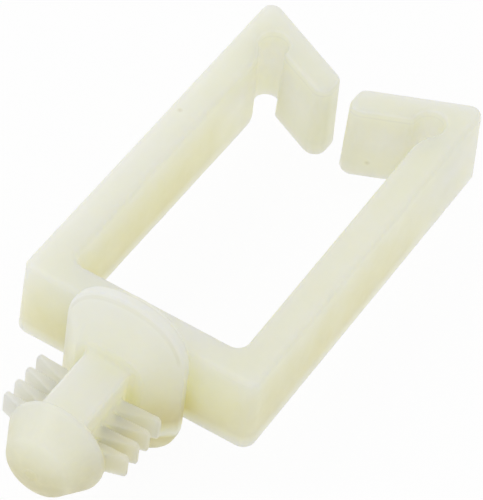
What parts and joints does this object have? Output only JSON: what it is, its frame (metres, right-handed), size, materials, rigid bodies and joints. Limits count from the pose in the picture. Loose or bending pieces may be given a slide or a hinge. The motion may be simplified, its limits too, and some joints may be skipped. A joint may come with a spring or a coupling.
{
  "type": "cable holder",
  "caption": "One-piece moulded nylon cable holder: a split rectangular loop with a sloped V mouth on a push-in fir-tree anchor with a crowned flange",
  "frame": {"origin": "where the anchor's axis meets the front of the crowned flange, which is the face that rests on the panel's hole", "axes": "+Z square to the flat loop, +Y from the anchor to the loop's mouth, +X across the loop"},
  "size_m": [0.0162, 0.038, 0.0118],
  "materials": {
    "natural_nylon": "satin natural nylon, slightly translucent"
  },
  "bodies": {
    "root": {"cable_holder": "natural_nylon"}
  },
  "joints": []
}
